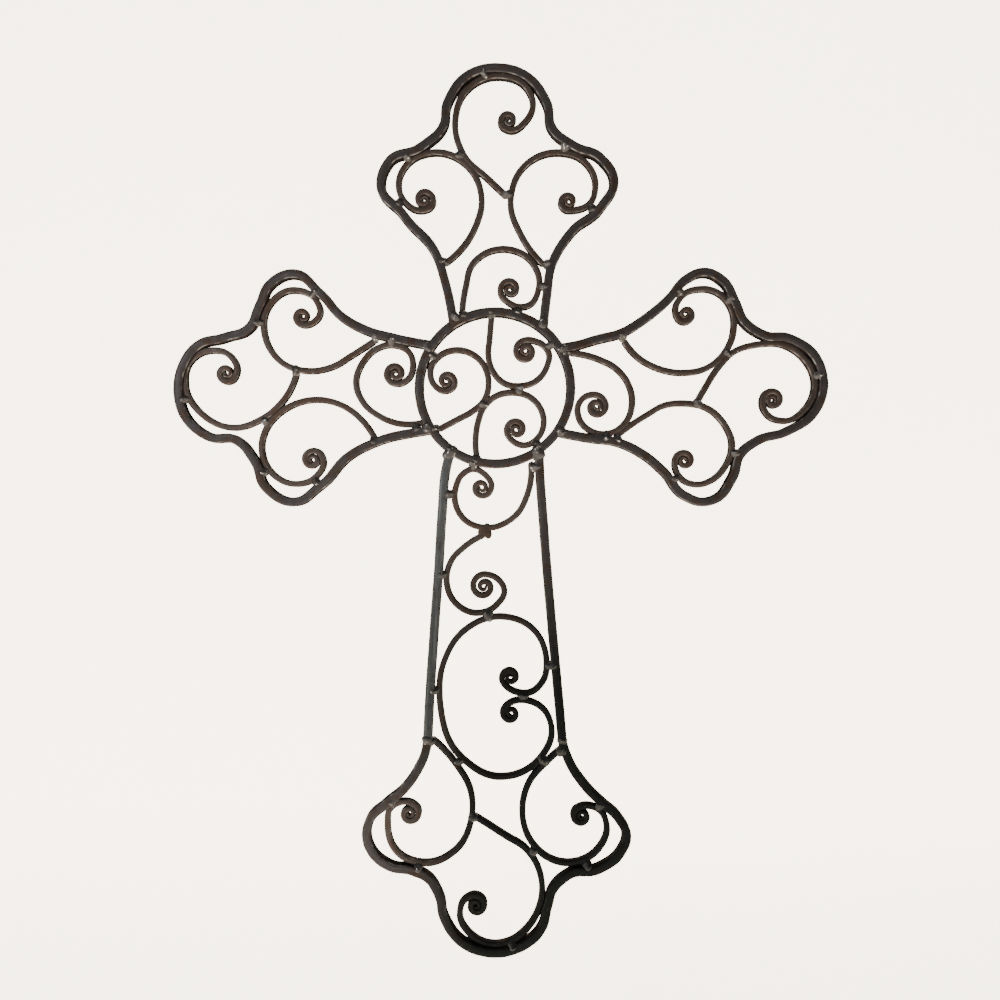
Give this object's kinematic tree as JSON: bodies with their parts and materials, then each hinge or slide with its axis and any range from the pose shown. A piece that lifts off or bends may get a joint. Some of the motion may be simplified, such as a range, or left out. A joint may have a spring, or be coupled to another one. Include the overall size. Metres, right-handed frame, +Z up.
{
  "type": "wrought iron cross",
  "caption": "Hanging wall cross of square wrought iron bar: a centre ring, lobed arm frames and a tapering shaft, filled with welded spiral scrolls.",
  "frame": {"origin": "on the back face of the top arch's bar, at the arch's highest point, where the cross hangs", "axes": "+X right as the cross is seen from the front, +Y back towards the wall, +Z up along the cross"},
  "size_m": [0.3924, 0.0067, 0.536],
  "materials": {
    "frame_iron": "dark blue-grey forged iron, satin, with worn edges",
    "scroll_iron": "dark brown-grey forged iron, satin, with brown scale"
  },
  "bodies": {
    "root": {"centre_ring": "frame_iron", "top_arm_frame": "frame_iron", "left_arm_frame": "frame_iron", "right_arm_frame": "frame_iron", "left_post": "frame_iron", "right_post": "frame_iron", "foot_frame": "frame_iron", "top_left_scroll": "scroll_iron", "top_right_scroll": "scroll_iron", "top_end_scroll": "scroll_iron", "top_base_scroll": "scroll_iron", "left_upper_scroll": "scroll_iron", "left_lower_scroll": "scroll_iron", "left_end_scroll": "scroll_iron", "left_base_scroll": "scroll_iron", "right_upper_scroll": "scroll_iron", "right_lower_scroll": "scroll_iron", "right_end_scroll": "scroll_iron", "right_base_scroll": "scroll_iron", "ring_left_scroll": "scroll_iron", "ring_upper_scroll": "scroll_iron", "ring_lower_scroll": "scroll_iron", "shaft_upper_scroll": "scroll_iron", "shaft_middle_scroll": "scroll_iron", "shaft_large_scroll": "scroll_iron", "foot_left_scroll": "scroll_iron", "foot_right_scroll": "scroll_iron", "foot_end_scroll": "scroll_iron"}
  },
  "joints": []
}
